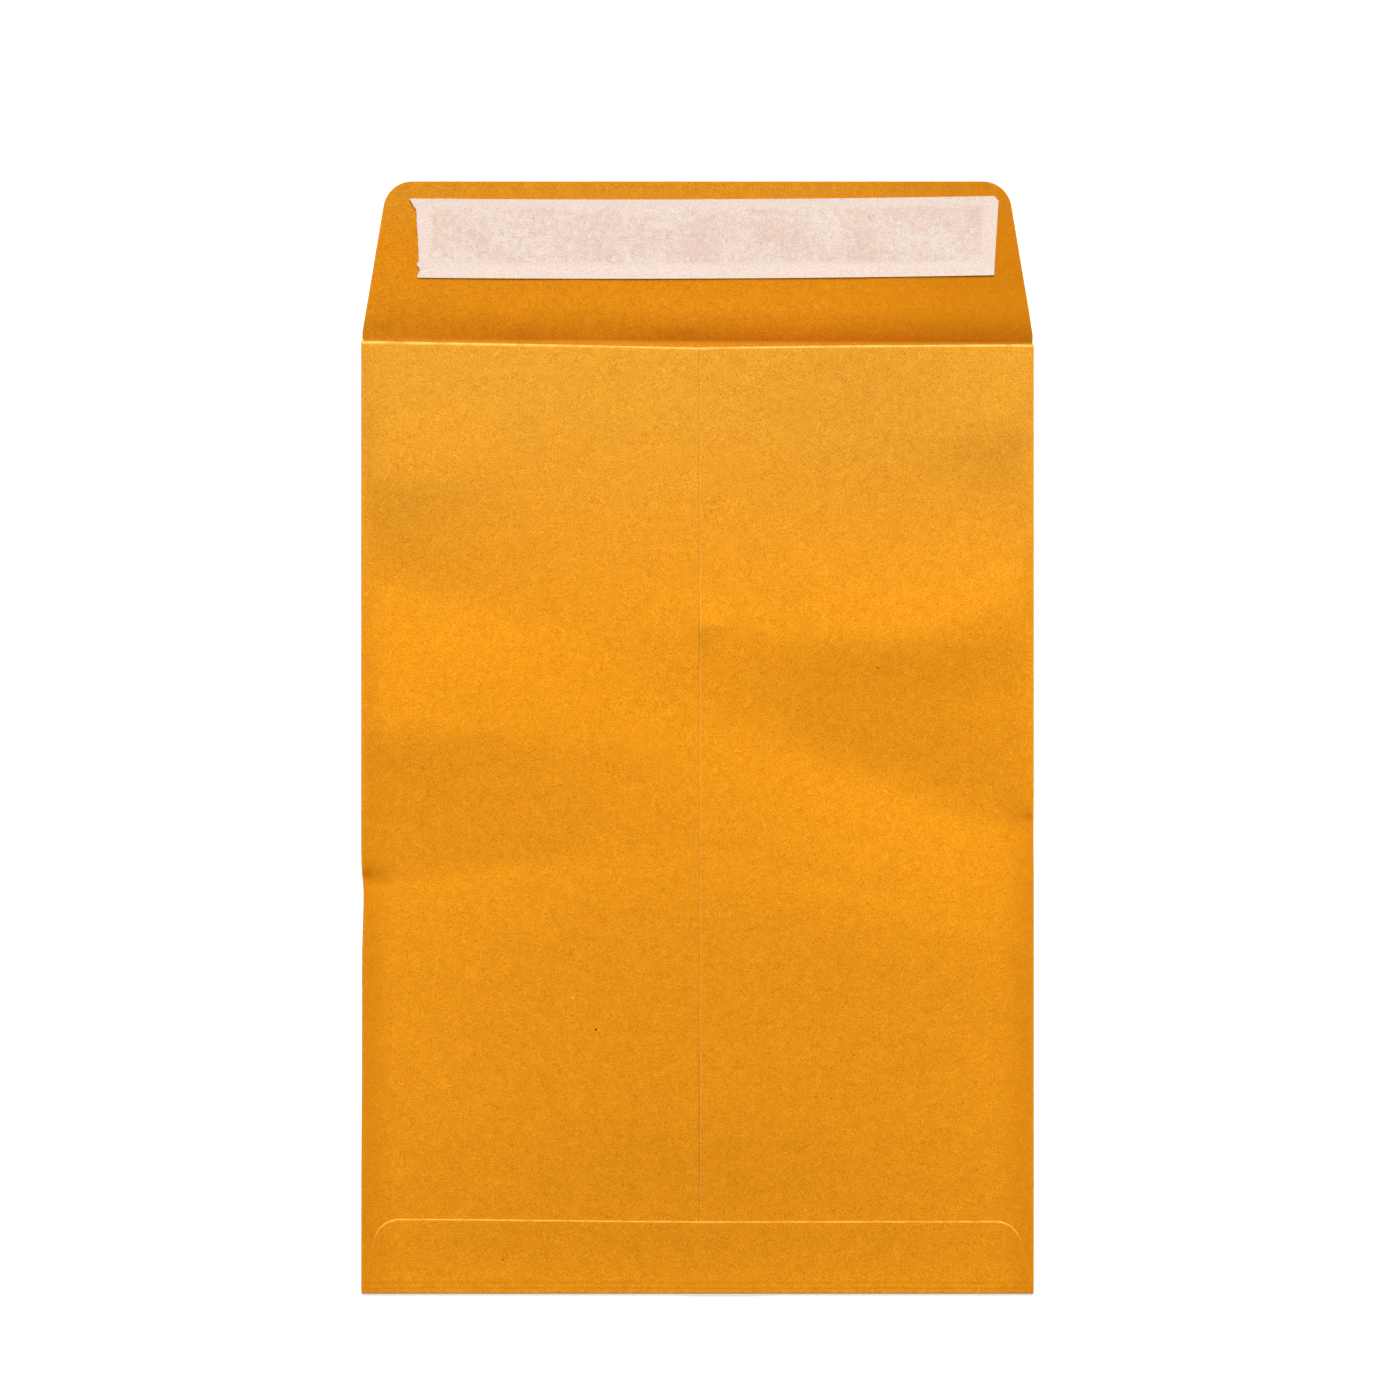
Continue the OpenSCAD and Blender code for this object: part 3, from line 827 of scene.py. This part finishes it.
# %% The group for felted fibres
def paper_fibre_group():
    """Fibre and Cloud run from 0 to 1, and Relief is the height of the fibres."""
    tree, given, out = group_tree(
        "felted fibres",
        [("Vector", VECTOR), ("Fibre Length", FLOAT)],
        [("Fibre", FLOAT), ("Cloud", FLOAT), ("Relief", FLOAT)])
    scale = maths(tree, "DIVIDE", 1.0, given["Fibre Length"])
    felt = noise(tree, given["Vector"], scale, detail=1.0, roughness=0.6)
    strands = []
    for lean, seed in ((0.5, 0.31), (-0.9, 0.83)):
        turned = node(tree, "ShaderNodeVectorRotate", rotation_type="Z_AXIS")
        feed(tree, turned.inputs["Vector"], given["Vector"])
        turned.inputs["Angle"].default_value = lean
        shifted = vector_maths(tree, "ADD", turned.outputs["Vector"], (seed, 0, 0))
        drawn = vector_maths(tree, "MULTIPLY", shifted, (0.22, 1.6, 1.0))
        strands.append(noise(tree, drawn, scale, detail=1.0))
    strand = maths(tree, "MAXIMUM", *strands)
    fibre = maths(tree, "ADD", times(tree, felt, 0.7), times(tree, strand, 0.3))
    tree.links.new(fibre, out["Fibre"])
    wide = times(tree, scale, 0.16)
    tree.links.new(noise(tree, given["Vector"], wide, detail=3.0), out["Cloud"])
    tree.links.new(maths(tree, "ADD", felt, times(tree, strand, 0.6)), out["Relief"])
    return tree


felted = paper_fibre_group()
print(felted.name, "has", len(felted.nodes), "nodes")

# %% [markdown]
# Small blemishes make a sheet of recycled kraft believable: a black speck, a pale fleck. Each
# is a place in the object's own space with a radius, its outline broken by a little noise, so
# one group serves them all. It also paints shade into the two pinched folds. The place is
# three-dimensional, so that a speck on the back doesn't show again on the front panel below it.

# %% The group for a speck
# Distance at which a speck ends, in radii, with the noise's share in it
SPECK_RIM = 1.5


def speck_group():
    tree, given, out = group_tree(
        "speck",
        [("Vector", VECTOR), ("Centre", VECTOR), ("Radius", FLOAT), ("Length", FLOAT),
         ("Softness", FLOAT)],
        [("Mask", FLOAT)])
    away = split(tree, vector_maths(tree, "SUBTRACT", given["Vector"], given["Centre"]))
    squeezed = node(tree, "ShaderNodeCombineXYZ")
    length = maths(tree, "DIVIDE", away["X"], given["Length"])
    for socket, side in zip(squeezed.inputs, (length, away["Y"], times(tree, away["Z"], 0.4))):
        tree.links.new(side, socket)
    reach = vector_maths(tree, "LENGTH", squeezed.outputs[0])
    ragged = times(tree, noise(tree, given["Vector"], 2500.0), 0.9)
    near = maths(tree, "ADD", maths(tree, "DIVIDE", reach, given["Radius"]), ragged)
    full = maths(tree, "SUBTRACT", SPECK_RIM, given["Softness"])
    tree.links.new(mapped(tree, near, SPECK_RIM, full), out["Mask"])
    return tree


speck = speck_group()
print(speck.name, "has", len(speck.nodes), "nodes")

# %% [markdown]
# Golden kraft is dyed in the pulp, so its colour goes right through, and a cut edge or a
# pressed fold shows paler broken fibres. On a cut edge that pale line is also a painted
# highlight, strongest where the edge faces the light. The finish is matt. The inner face,
# which shows on the open flap, is slightly deeper.

# %% Colours of the kraft
def srgb(red, green, blue):
    """A colour as seen on screen, 0 to 255, as the linear values that a shader takes."""
    shares = [c / 255 for c in (red, green, blue)]
    linear = [s / 12.92 if s <= 0.04045 else ((s + 0.055) / 1.055) ** 2.4 for s in shares]
    return (*linear, 1.0)


KRAFT_DEEP, KRAFT_PALE = srgb(223, 120, 12), srgb(247, 169, 33)
# Painted sheen: the deep and pale kraft as it looks paler and yellower where the light falls
# fullest
SHEEN_DEEP, SHEEN_PALE = srgb(205, 131, 30), srgb(234, 181, 72)
# Rubbed kraft, which also serves as painted shade beside the folds and along the seam
KRAFT_RUBBED_AND_SHADE = srgb(208, 122, 8)
KRAFT_INNER = srgb(250, 245, 243)
EDGE_PALE = srgb(255, 214, 108)
FOLD_PALE = srgb(250, 178, 72)
FOLD_DULL = srgb(206, 162, 52)
SPECK_DARK = srgb(52, 34, 20)
PINCH_SHADE = srgb(206, 112, 4)
FLECK_BROWN = srgb(176, 100, 20)
FLECK_PALE = srgb(252, 196, 104)

# %% Places of the specks
# x and y on the envelope in mm, radius, length and softness of each, and its colour
SPECKS = [
    ((-34.4, -98.7), 0.42, 1.0, 0.4, SPECK_DARK),
    ((-66.1, -177.3), 0.4, 1.3, 0.4, FLECK_BROWN),
    ((-42.3, -87.9), 0.35, 1.4, 0.4, FLECK_PALE),
    ((61.0, 24.0), 0.25, 2.2, 0.4, FLECK_BROWN),
    ((-82.5, 96.0), 0.25, 1.6, 0.4, FLECK_PALE),
    ((2.6, 132.5), 1.3, 2.0, 1.0, FLECK_PALE),
    # The last two are painted shade in the pinched folds
    ((-112.8, -46.0), 3.0, 1.1, 1.4, PINCH_SHADE),
    ((113.0, -26.2), 2.2, 1.0, 1.4, PINCH_SHADE),
]


def on_back(x, y):
    """A place on the outer face of the back, or of the bottom flap, from its x and y in mm."""
    x, along = x * MM, y * MM + MIDDLE_Y
    if along < TUCK["length"]:
        high = tuck_z(x, along) + PAPER_T
    else:
        high = back_z(x, along) + (lap_lift(x) if x > SEAM_X else 0)
    return Vector((x, y * MM, high))


for spot, *_ in SPECKS:
    print("speck at", [round(c / MM, 1) for c in on_back(*spot)])

# %% Helpers for the materials
def plain_material(name, roughness):
    """A material with its tree, its Principled shader and the object's own coordinates."""
    material = bpy.data.materials.new(name)
    material.use_nodes = True
    tree = material.node_tree
    shader = tree.nodes["Principled BSDF"]
    shader.inputs["Roughness"].default_value = roughness
    place = node(tree, "ShaderNodeTexCoord").outputs["Object"]
    return material, tree, shader, place


def raised(tree, shader, height, distance, strength=1.0):
    relief = node(tree, "ShaderNodeBump")
    relief.inputs["Strength"].default_value = strength
    relief.inputs["Distance"].default_value = distance
    tree.links.new(height, relief.inputs["Height"])
    tree.links.new(relief.outputs["Normal"], shader.inputs["Normal"])


def band_mask(tree, value, low, high, soft):
    """1 where the value lies between two limits, with a soft border on each."""
    up = mapped(tree, value, low - soft, low + soft)
    return times(tree, up, mapped(tree, value, high + soft, high - soft))


def scaled_by(tree, colour, factor):
    made = node(tree, "ShaderNodeVectorMath", operation="SCALE")
    tree.links.new(colour, made.inputs[0])
    tree.links.new(factor, made.inputs["Scale"])
    return made.outputs["Vector"]


def tinted(tree, colour, mask, share, tint):
    """Gives a colour its share of a tint where the mask is 1."""
    return mixed(tree, times(tree, mask, share), colour, tint)


# %% Pulp and painted sheen
# Shares of painted sheen on the outside of the body and on the open flap
BODY_SHEEN, FLAP_SHEEN = 0.55, 0.3


def pulp_colour(tree, place, parts, inside, outside, fibres):
    """Deep and pale fibres. The outside is painted paler and yellower towards the mouth, and the
    open flap towards its free edge, as a painted sheen where the light falls fullest."""
    body_sheen = times(tree, mapped(tree, parts["Y"], 0.02, 0.13), outside)
    flap_sheen = times(tree, mapped(tree, parts["Y"], 0.165, 0.189), inside)
    sheen = maths(tree, "ADD", times(tree, body_sheen, BODY_SHEEN),
                  times(tree, flap_sheen, FLAP_SHEEN))
    strength = mapped(tree, fibres["Fibre"], 0.34, 0.66, smooth=False)
    colour = mixed(tree, strength, mixed(tree, sheen, KRAFT_DEEP, SHEEN_DEEP),
                   mixed(tree, sheen, KRAFT_PALE, SHEEN_PALE))
    cloudy = mapped(tree, fibres["Cloud"], 0.3, 0.7, 0.95, 1.05, smooth=False)
    mottled = noise(tree, place, 130.0, detail=3.0, roughness=0.6)
    mottled = mapped(tree, mottled, 0.3, 0.7, 0.97, 1.03, smooth=False)
    colour = scaled_by(tree, scaled_by(tree, colour, cloudy), mottled)
    inner = mixed(tree, inside, (1, 1, 1, 1), KRAFT_INNER)
    return mixed(tree, 1.0, colour, inner, "MULTIPLY")


# What this prints as fading is the share of painted sheen
print(f"daylight fades the body by up to {BODY_SHEEN:.0%} and the flap by {FLAP_SHEEN:.0%}")

# %% Painted shade beside the folds, a darker flap, and the press lines
PRESS_LINE = -186.7 * MM


def with_marks(tree, colour, place, parts):
    """The lower part gets painted shade beside its folds, where the paper turns from the light,
    and the flap is darker at its right. A thin press line runs along just above the bottom
    fold, and a wider, fainter one above."""
    # Painted shade beside the folds of the lower part, where the paper turns from the light
    beside = mapped(tree, maths(tree, "ABSOLUTE", parts["X"]), 0.1, 0.1135)
    fold_shade = times(tree, beside, mapped(tree, parts["Y"], 0.0, -0.05))
    colour = tinted(tree, colour, fold_shade, 0.4, KRAFT_RUBBED_AND_SHADE)
    flap_right = times(tree, mapped(tree, parts["X"], 0.03, 0.11),
                       mapped(tree, parts["Y"], 0.13, 0.14))
    colour = tinted(tree, colour, flap_right, 0.5, KRAFT_RUBBED_AND_SHADE)
    wander = times(tree, noise(tree, place, 60.0), 0.8 * MM)
    press = maths(tree, "ADD", parts["Y"], wander)
    for low, high, share, tint in ((-0.3, 0.3, 0.5, KRAFT_RUBBED_AND_SHADE), (1.4, 2.4, 0.35, KRAFT_DEEP)):
        line = band_mask(tree, press, PRESS_LINE + low * MM, PRESS_LINE + high * MM, 0.4 * MM)
        colour = tinted(tree, colour, line, share, tint)
    return colour


print(f"the press line runs {(PRESS_LINE + MIDDLE_Y) / MM:.1f} mm above the bottom fold")

# %% Folds, cuts and the seam
WORN_FROM, WORN_TO = -99 * MM, -42 * MM
# Where the seam's free edge comes to lie on the left panel, as a place across the blank
EDGE_ON_LEFT = -(2 * FRONT_X + FOLD_W + SEAM_X)
# Width of the painted shade and dust along the seam
SEAM_SHADE_AND_DUST_W = 0.5 * MM


def with_folds(tree, colour, place, parts, inside, outside):
    """Fibres break and turn pale outside a pressed fold, most where the left one is worn, and
    on cuts, where the pale line is also a painted highlight, and inside a fold they are crushed.
    A thin dark line on the left panel along the seam is painted shade of the gap under its free
    edge, with dust in it, most of it low down."""
    fold = attribute(tree, "fold_line")
    broken = mapped(tree, noise(tree, place, 900.0, detail=3.0), 0.38, 0.66)
    pressed = times(tree, times(tree, fold, broken), outside)
    colour = tinted(tree, colour, pressed, 0.3, FOLD_PALE)
    colour = tinted(tree, colour, times(tree, fold, inside), 0.6, FOLD_DULL)
    worn = times(tree, mapped(tree, parts["X"], -0.1138, -0.1143),
                 band_mask(tree, parts["Y"], WORN_FROM, WORN_TO, 4 * MM))
    colour = tinted(tree, colour, times(tree, worn, broken), 0.8, EDGE_PALE)
    # Pale fibres on cuts, and a painted highlight on them, as strong as the cut_edge attribute
    # says
    patchy = mapped(tree, noise(tree, place, 240.0, detail=3.0), 0.3, 0.6, 0.35, 1.0)
    cut = mapped(tree, attribute(tree, "cut_edge"), 0.0, 0.8)
    colour = tinted(tree, colour, cut, patchy, EDGE_PALE)
    # A thin band of painted shade from the gap under the seam's free edge, together with dust
    across = split(tree, node(tree, "ShaderNodeUVMap", uv_map="blank").outputs[0])["X"]
    dust = band_mask(tree, across, EDGE_ON_LEFT, EDGE_ON_LEFT + SEAM_SHADE_AND_DUST_W, 0.1 * MM)
    return tinted(tree, colour, dust, mapped(tree, parts["Y"], -0.09, -0.12, 0.3, 0.5),
                  KRAFT_RUBBED_AND_SHADE)


print(f"the left fold is worn along {(WORN_TO - WORN_FROM) / MM:.0f} mm")

# %% The kraft material
def kraft_material():
    material, tree, shader, place = plain_material("golden kraft", 0.85)
    shader.inputs["Specular IOR Level"].default_value = 0.02
    parts = split(tree, place)
    inside = attribute(tree, "inside")
    outside = maths(tree, "SUBTRACT", 1.0, inside)
    fibres = placed(tree, felted, Vector=place, Fibre_Length=0.42 * MM)
    colour = pulp_colour(tree, place, parts, inside, outside, fibres)
    colour = with_marks(tree, colour, place, parts)
    colour = with_folds(tree, colour, place, parts, inside, outside)
    # Specks and flecks, and the painted shade in the pinched folds
    for spot, radius, length, softness, tint in SPECKS:
        mask = placed(tree, speck, Vector=place, Centre=on_back(*spot), Radius=radius * MM,
                      Length=length, Softness=softness)["Mask"]
        colour = mixed(tree, mask, colour, tint)
    tree.links.new(colour, shader.inputs["Base Color"])
    rough = mapped(tree, fibres["Fibre"], 0.3, 0.7, 0.92, 0.8, smooth=False)
    tree.links.new(rough, shader.inputs["Roughness"])
    handling = times(tree, noise(tree, place, 75.0, detail=3.0, roughness=0.45), 8.0)
    raised(tree, shader, maths(tree, "ADD", fibres["Relief"], handling), 0.02 * MM, 0.5)
    return material


kraft.data.materials.append(kraft_material())
print("golden kraft has", len(kraft.data.materials[0].node_tree.nodes), "nodes")

# %% [markdown]
# The liner is thin enough for the adhesive under it to show through as a mottled, pinkish
# band, while its bare margins stay whiter. The band's outline is a soft box in the liner's
# own UV map, which is in metres, so it lies over the CAD's band, to within half a millimetre.

# %% The liner material
LINER_MARGIN = srgb(250, 228, 214)
LINER_BAND = srgb(250, 231, 218)
LINER_PINK = srgb(238, 208, 193)
LINER_STRAW = srgb(247, 217, 189)
LINER_SPECK = srgb(196, 146, 122)


def soft_box(tree, strip, low, high, soft):
    """1 inside a box on the strip's UV map, fading out over a soft border."""
    ways = zip(split(tree, strip), low, high)
    return times(tree, *[band_mask(tree, part, start, end, soft) for part, start, end in ways])


def liner_material():
    material, tree, shader, place = plain_material("release liner", 0.55)
    shader.inputs["Specular IOR Level"].default_value = 0.3
    strip = node(tree, "ShaderNodeUVMap", uv_map="strip").outputs[0]
    uneven = maths(tree, "SUBTRACT", noise(tree, strip, 160.0, detail=3.0), 0.5)
    waved = vector_maths(tree, "ADD", strip, times(tree, uneven, 3 * MM))
    band = soft_box(tree, waved, (BAND_END, BAND_LOW),
                    (LINER_L - BAND_END, LINER_W - BAND_HIGH), 1.1 * MM)

    wide = noise(tree, strip, 55.0, detail=2.0)
    fine = noise(tree, strip, 420.0, detail=5.0, roughness=0.75)
    patches = maths(tree, "ADD", times(tree, fine, 0.6), times(tree, wide, 0.4))
    patches = mapped(tree, patches, 0.40, 0.60)
    straw_place = vector_maths(tree, "ADD", strip, (0.4, 0.2, 0))
    straw = mapped(tree, noise(tree, straw_place, 200.0, detail=6.0, roughness=0.75), 0.46, 0.70)
    through = mixed(tree, patches, LINER_BAND, LINER_PINK)
    through = tinted(tree, through, straw, 0.7, LINER_STRAW)
    colour = mixed(tree, band, LINER_MARGIN, through)

    fibres = placed(tree, felted, Vector=place, Fibre_Length=0.36 * MM)
    grain = mapped(tree, fibres["Fibre"], 0.34, 0.66, 0.79, 1.13, smooth=False)
    colour = scaled_by(tree, colour, grain)

    # Dust and small voids in the adhesive show as irregular specks, mostly within the band
    dust = noise(tree, strip, 1300.0, detail=3.0, roughness=0.7)
    crowd = mapped(tree, noise(tree, strip, 260.0, detail=2.0), 0.35, 0.65, 0.08, 0.0)
    dusty = mapped(tree, maths(tree, "SUBTRACT", dust, crowd), 0.57, 0.66)
    shown = mapped(tree, band, 0.0, 1.0, 0.3, 1.0)
    colour = tinted(tree, colour, times(tree, dusty, shown), 0.75, LINER_SPECK)
    tree.links.new(colour, shader.inputs["Base Color"])
    raised(tree, shader, fibres["Relief"], 0.015 * MM, 0.4)
    return material


liner.data.materials.append(liner_material())
print("release liner has", len(liner.data.materials[0].node_tree.nodes), "nodes")

# %% [markdown]
# Dried glue and the self-seal adhesive hardly show, but the parts are reused and looked at
# one by one, so both get a real finish: a brownish skin for the glue that thins out in
# streaks, and a stringy, glossy pink film for the adhesive.

# %% The glue and the adhesive
def sticky_material(name, thin, thick, streak_size, roughness, relief):
    """A film spread by a roller: streaks across, and small blisters."""
    material, tree, shader, place = plain_material(name, roughness)
    drawn = vector_maths(tree, "MULTIPLY", place, (1.0, 0.25, 1.0))
    streaks = noise(tree, drawn, 1 / streak_size, detail=3.0)
    blisters = node(tree, "ShaderNodeTexVoronoi", feature="SMOOTH_F1")
    tree.links.new(place, blisters.inputs["Vector"])
    blisters.inputs["Scale"].default_value = 0.5 / streak_size
    body = mapped(tree, streaks, 0.35, 0.68)
    tree.links.new(mixed(tree, body, thin, thick), shader.inputs["Base Color"])
    tree.links.new(mapped(tree, body, 0.0, 1.0, roughness + 0.15, roughness - 0.1),
                   shader.inputs["Roughness"])
    raised(tree, shader, maths(tree, "ADD", streaks, blisters.outputs["Distance"]), relief)
    return material


glue = sticky_material(
    "dried glue", srgb(222, 186, 120), srgb(238, 222, 186), 1.6 * MM, 0.45, 0.02 * MM)
for film in (seam_film, bottom_film):
    film.data.materials.append(glue)
band_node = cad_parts["seal_band"]
band_node.data.materials.clear()
band_node.data.materials.append(sticky_material(
    "self-seal adhesive", srgb(236, 188, 164), srgb(242, 206, 190), 2.4 * MM, 0.4, 0.03 * MM))
print("films done:", seam_film.name, bottom_film.name, band_node.name)

# %% [markdown]
# The stage is a plain white table. The envelope is nearly flat, so its form only shows under
# light that comes in low. One big soft lamp stands well beyond the flap, and the world fills
# in the rest. Together they light a level surface at about its own colour. The table and the
# world look white to the camera without casting more light on the paper.

# %% Floor
FLOOR_GLOW = 0.5
FLOOR_DROP = 0.02 * MM


def seen_directly(tree):
    """1 for a ray that shows the surface to the camera, straight or by reflection."""
    rays = node(tree, "ShaderNodeLightPath").outputs
    straight = maths(tree, "MAXIMUM", rays["Is Camera Ray"], rays["Is Transmission Ray"])
    return maths(tree, "MAXIMUM", straight, rays["Is Glossy Ray"])


def floor_material():
    material, tree, shader, _ = plain_material("white table", 0.9)
    shader.inputs["Base Color"].default_value = (0.9, 0.9, 0.9, 1)
    shader.inputs["Specular IOR Level"].default_value = 0.0
    shader.inputs["Emission Color"].default_value = (1, 1, 1, 1)
    glow = times(tree, seen_directly(tree), FLOOR_GLOW)
    tree.links.new(glow, shader.inputs["Emission Strength"])
    return material


bm = bmesh.new()
bmesh.ops.create_grid(bm, x_segments=1, y_segments=1, size=3.0)
bmesh.ops.translate(bm, verts=bm.verts, vec=(0, 0, -FLOOR_DROP))
floor = mesh_piece("table", bm)
floor.data.materials.append(floor_material())
print("the table lies", FLOOR_DROP / MM, "mm below the paper")

# %% Lamp and world
LAMP_PLACE = Vector((0.2, 4.2, 2.1))
LAMP_SIZE = 1.8
LAMP_WATTS = 375.0
WORLD_LEVEL = 0.30

lamp_data = bpy.data.lights.new("soft window", "AREA")
lamp_data.shape = "SQUARE"
lamp_data.size = LAMP_SIZE
lamp_data.energy = LAMP_WATTS
lamp = in_scene("soft window", lamp_data)
lamp.location = LAMP_PLACE
lamp.rotation_euler = (-LAMP_PLACE).to_track_quat("-Z", "Y").to_euler()

world = bpy.data.worlds.new("white room")
bpy.context.scene.world = world
world.use_nodes = True
sky = world.node_tree
backdrop = sky.nodes["Background"]
backdrop.inputs["Color"].default_value = (1, 1, 1, 1)
level = mapped(sky, seen_directly(sky), 0.0, 1.0, WORLD_LEVEL, 1.0, smooth=False)
sky.links.new(level, backdrop.inputs["Strength"])
bpy.context.scene.view_settings.view_transform = "Standard"
lamp_turn = math.degrees(math.atan2(LAMP_PLACE.z, LAMP_PLACE.xy.length))
print("the lamp stands", round(lamp_turn), "degrees above the table")

# %% [markdown]
# The photograph looks straight down. One pixel of it is 0.3404 mm at the side folds, which
# fixes the width of the view, and the envelope sits a little below its middle. A long lens
# from well above keeps the swell from bulging.

# %% Camera
PIXEL = 0.3404 * MM
PICTURE = 1400
CAMERA_UP = 1.40
CAMERA_X, CAMERA_Y = 0.85 * MM, 13.1 * MM
SENSOR = 36.0
SEEN_Z = 0.4 * MM

camera_data = bpy.data.cameras.new("overhead camera")
camera_data.sensor_width = SENSOR
camera_data.lens = SENSOR * (CAMERA_UP - SEEN_Z) / (PIXEL * PICTURE)
camera = in_scene("overhead camera", camera_data)
camera.location = (CAMERA_X, CAMERA_Y, CAMERA_UP)
bpy.context.scene.camera = camera
print(f"a {camera_data.lens:.0f} mm lens from {CAMERA_UP} m up")

# %% Update the view layer
bpy.context.view_layer.update()
